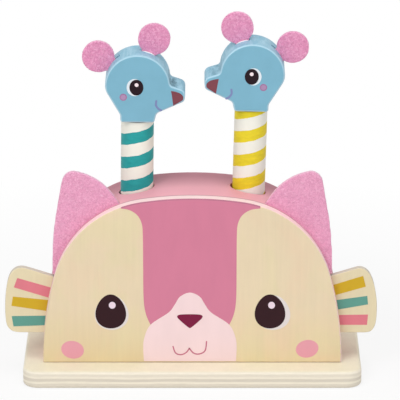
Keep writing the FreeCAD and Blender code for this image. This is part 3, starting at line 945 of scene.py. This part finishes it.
def add_camera():
    """The camera at the photograph's height and distance."""
    pitch = math.radians(CAMERA_PITCH)
    target = Vector(CAMERA_TARGET)
    look = Vector((0.0, math.cos(pitch), -math.sin(pitch)))
    data = bpy.data.cameras.new("camera")
    data.sensor_width = SENSOR_WIDTH
    data.lens = FOCAL_PIXELS / PICTURE_PIXELS * SENSOR_WIDTH
    camera = bpy.data.objects.new("camera", data)
    camera.location = (target - look * CAMERA_DISTANCE) * MM
    camera.rotation_euler = (math.pi / 2 - pitch, 0.0, 0.0)
    bpy.context.scene.collection.objects.link(camera)
    bpy.context.scene.camera = camera


def add_lamp(name, place, size, power):
    """A square soft lamp that shines at the toy, with its place and size in metres."""
    data = bpy.data.lights.new(name, "AREA")
    data.size = size
    data.energy = power
    lamp = bpy.data.objects.new(name, data)
    lamp.location = place
    aim = Vector(CAMERA_TARGET) * MM - Vector(place)
    lamp.rotation_euler = aim.to_track_quat("-Z", "Y").to_euler()
    bpy.context.scene.collection.objects.link(lamp)


def seen(tree):
    """1 for rays that show a surface itself: from the camera, a reflection or a see-through."""
    path = tree.nodes.new("ShaderNodeLightPath")
    total = None
    for ray in ("Is Camera Ray", "Is Glossy Ray", "Is Transmission Ray"):
        if total is None:
            total = path.outputs[ray]
            continue
        add = tree.nodes.new("ShaderNodeMath")
        add.operation = "ADD"
        add.use_clamp = True
        tree.links.new(total, add.inputs[0])
        tree.links.new(path.outputs[ray], add.inputs[1])
        total = add.outputs[0]
    return total


def add_world(strength):
    """A soft white world of a given strength that shows as full white."""
    world = bpy.data.worlds.new("studio")
    bpy.context.scene.world = world
    world.use_nodes = True
    tree = world.node_tree
    background = tree.nodes["Background"]
    background.inputs["Color"].default_value = (1.0, 1.0, 1.0, 1.0)
    level = tree.nodes.new("ShaderNodeMapRange")
    level.inputs["To Min"].default_value = strength
    level.inputs["To Max"].default_value = 1.0
    tree.links.new(seen(tree), level.inputs["Value"])
    tree.links.new(level.outputs[0], background.inputs["Strength"])


def add_floor():
    """A pale floor that turns white to the camera away from the toy and keeps its soft shadow."""
    half = 6.0
    mesh = bpy.data.meshes.new("floor")
    corners = ((-half, -half, 0), (half, -half, 0), (half, half, 0), (-half, half, 0))
    mesh.from_pydata(corners, [], [(0, 1, 2, 3)])
    floor = bpy.data.objects.new("floor", mesh)
    bpy.context.scene.collection.objects.link(floor)
    material = bpy.data.materials.new("floor")
    material.use_nodes = True
    tree = material.node_tree
    surface = tree.nodes["Principled BSDF"]
    surface.inputs["Base Color"].default_value = FLOOR_COLOUR
    surface.inputs["Roughness"].default_value = 0.9
    surface.inputs["Specular IOR Level"].default_value = 0.0
    white = tree.nodes.new("ShaderNodeEmission")
    white.inputs["Color"].default_value = (1.0, 1.0, 1.0, 1.0)
    distance = tree.nodes.new("ShaderNodeVectorMath")
    distance.operation = "LENGTH"
    tree.links.new(tree.nodes.new("ShaderNodeTexCoord").outputs["Object"], distance.inputs[0])
    glow = tree.nodes.new("ShaderNodeMapRange")
    for socket, value in FLOOR_GLOW.items():
        glow.inputs[socket].default_value = value
    tree.links.new(distance.outputs["Value"], glow.inputs["Value"])
    share = tree.nodes.new("ShaderNodeMath")
    share.operation = "MULTIPLY"
    tree.links.new(seen(tree), share.inputs[0])
    tree.links.new(glow.outputs[0], share.inputs[1])
    blend = tree.nodes.new("ShaderNodeMixShader")
    tree.links.new(share.outputs[0], blend.inputs[0])
    tree.links.new(surface.outputs[0], blend.inputs[1])
    tree.links.new(white.outputs[0], blend.inputs[2])
    tree.links.new(blend.outputs[0], tree.nodes["Material Output"].inputs["Surface"])
    mesh.materials.append(material)


add_camera()
dress_nodes()
dress_panel()
dress_fins()
mouse_felt = felt_material("mouse_felt", MOUSE_FELT, MOUSE_FELT_PALE, MOUSE_FLECKS)
cat_felt = felt_material("cat_felt", CAT_FELT, CAT_FELT_PALE, CAT_FLECKS)
for side in ("left", "right"):
    dress_head(side)
    glue_line(side)
    dress_ears(side, cat_felt, mouse_felt)
add_floor()
add_world(WORLD_STRENGTH)
for lamp in LAMPS:
    add_lamp(*lamp)
bpy.context.scene.view_settings.view_transform = "Standard"
